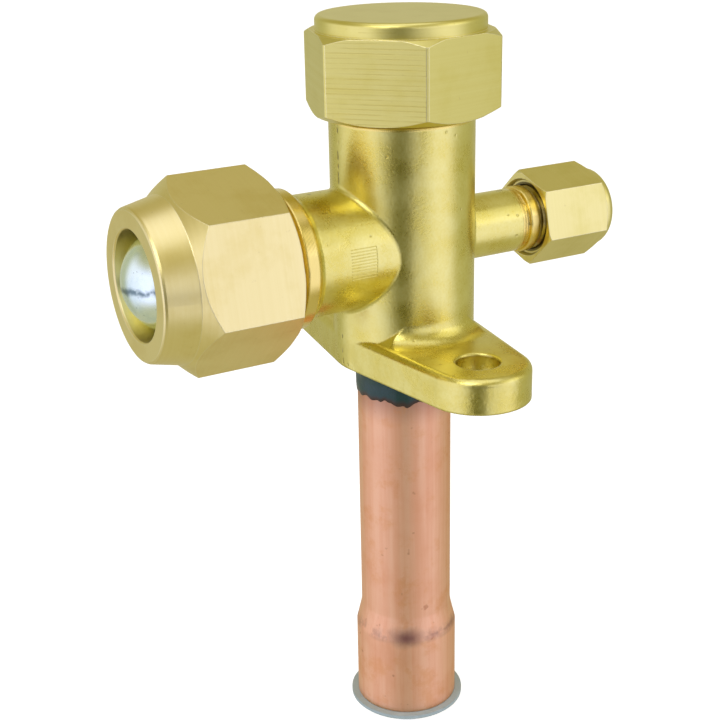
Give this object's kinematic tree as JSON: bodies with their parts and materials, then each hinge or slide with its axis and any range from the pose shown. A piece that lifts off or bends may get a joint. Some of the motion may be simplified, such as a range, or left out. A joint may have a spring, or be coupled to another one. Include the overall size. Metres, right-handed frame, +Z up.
{
  "type": "refrigerant service valve",
  "caption": "Forged angle service valve with a two-hole flange, capped stem, flare port with nut, capped gauge port and a plugged copper stub tube.",
  "frame": {"origin": "where the stem axis meets the underside of the mounting flange", "axes": "+Z up along the valve stem towards the bonnet cap, X along the line of the two flange holes, -Y along the flare port, +Y along the service port"},
  "size_m": [0.0612, 0.0876, 0.1231],
  "materials": {
    "forged_brass": "satin, fine forged grain",
    "turned_brass": "satin, turned and milled",
    "stem_brass": "turned, bright",
    "seal_fibre": "matte sealing ring",
    "rubber_black": "matte black",
    "spring_steel": "dark bright steel",
    "zinc_plated_steel": "glossy, slightly blue",
    "copper": "satin drawn copper",
    "braze_alloy": "dull, slightly rough",
    "green_paint": "dark green sealing paint",
    "plastic_grey": "grey-blue plastic"
  },
  "bodies": {
    "valve": {"valve_body": "forged_brass", "copper_tube": "copper", "braze_fillet": "braze_alloy", "sealing_paint": "green_paint", "retaining_ring": "spring_steel", "core_plug": "stem_brass", "core_barrel": "stem_brass", "core_gasket": "seal_fibre", "core_spring": "spring_steel"},
    "stem_seal": {"stem_o_ring": "rubber_black"},
    "stem": {"valve_stem": "stem_brass"},
    "bonnet_seal": {"bonnet_cap_gasket": "seal_fibre"},
    "bonnet": {"bonnet_cap": "turned_brass"},
    "blank": {"blanking_cap": "zinc_plated_steel"},
    "nut": {"flare_nut": "turned_brass"},
    "service_seal": {"service_cap_gasket": "rubber_black"},
    "service": {"service_cap": "turned_brass"},
    "core": {"core_pin": "spring_steel", "core_poppet": "stem_brass", "core_poppet_seal": "rubber_black"},
    "plug": {"tube_plug": "plastic_grey"}
  },
  "joints": [
    {"name": "stem_travel", "type": "slide", "parent": "valve", "child": "stem_seal", "axis": [0, 0, 1], "range_m": [0, 0.005]},
    {"name": "stem_turn", "type": "hinge", "parent": "stem_seal", "child": "stem", "pos_m": [0, 0, 0.0385], "axis": [0, 0, 1], "range_deg": [0, 1200]},
    {"name": "bonnet_cap_travel", "type": "slide", "parent": "valve", "child": "bonnet_seal", "axis": [0, 0, 1], "range_m": [0, 0.012]},
    {"name": "bonnet_cap_turn", "type": "hinge", "parent": "bonnet_seal", "child": "bonnet", "pos_m": [0, 0, 0.0475], "axis": [0, 0, 1], "range_deg": [0, 2880]},
    {"name": "flare_nut_travel", "type": "slide", "parent": "valve", "child": "blank", "axis": [0, -1, 0], "range_m": [0, 0.01452]},
    {"name": "flare_nut_turn", "type": "hinge", "parent": "blank", "child": "nut", "pos_m": [0, -0.0358, 0.02], "axis": [0, -1, 0], "range_deg": [0, 2882]},
    {"name": "service_cap_travel", "type": "slide", "parent": "valve", "child": "service_seal", "axis": [0, 1, 0], "range_m": [0, 0.01144]},
    {"name": "service_cap_turn", "type": "hinge", "parent": "service_seal", "child": "service", "pos_m": [0, 0.031, 0.02], "axis": [0, 1, 0], "range_deg": [0, 3243]},
    {"name": "core_press", "type": "slide", "parent": "valve", "child": "core", "axis": [0, -1, 0], "range_m": [0, 0.001], "stiffness_N_per_m": 300, "springref_m": -0.0005, "deforming": ["core_spring"]},
    {"name": "plug_pull", "type": "slide", "parent": "valve", "child": "plug", "axis": [0, 0, -1], "range_m": [0, 0.012]}
  ],
  "couplings": [
    {"joint": "stem_turn", "follows": "stem_travel", "rad_per_m": 4188.8},
    {"joint": "bonnet_cap_turn", "follows": "bonnet_cap_travel", "rad_per_m": 4188.8},
    {"joint": "flare_nut_turn", "follows": "flare_nut_travel", "rad_per_m": 3463.7},
    {"joint": "service_cap_turn", "follows": "service_cap_travel", "rad_per_m": 4947.4}
  ]
}
